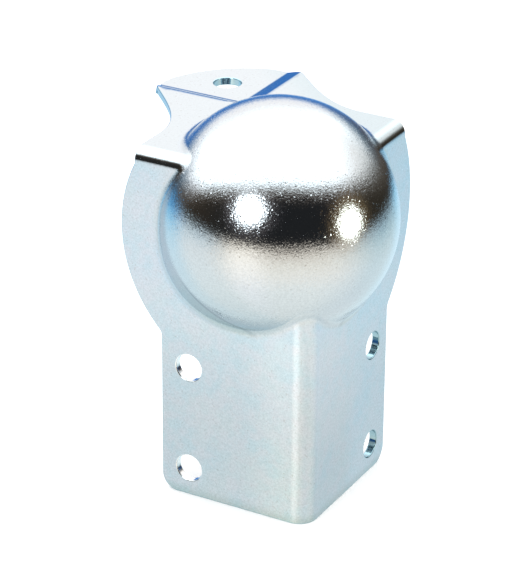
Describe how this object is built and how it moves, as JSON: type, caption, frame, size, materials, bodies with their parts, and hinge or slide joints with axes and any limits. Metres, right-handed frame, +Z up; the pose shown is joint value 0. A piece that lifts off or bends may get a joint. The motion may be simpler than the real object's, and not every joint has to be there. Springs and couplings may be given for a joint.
{
  "type": "flight case ball corner",
  "caption": "Pressed sheet-steel ball corner for a flight case, with two drilled brace legs down the vertical edge and a joggled rivet tab on top.",
  "frame": {"origin": "centre of the bounding box's bottom, level with the ends of the two legs", "axes": "+Z up along the case's vertical edge; -Y out of the left plate; +X out of the right plate"},
  "size_m": [0.0564, 0.0564, 0.0739],
  "materials": {
    "zinc_plated_steel": "bright blue-passivated zinc plate with a fine orange-peel grain"
  },
  "bodies": {
    "root": {"corner_pressing": "zinc_plated_steel"}
  },
  "joints": []
}
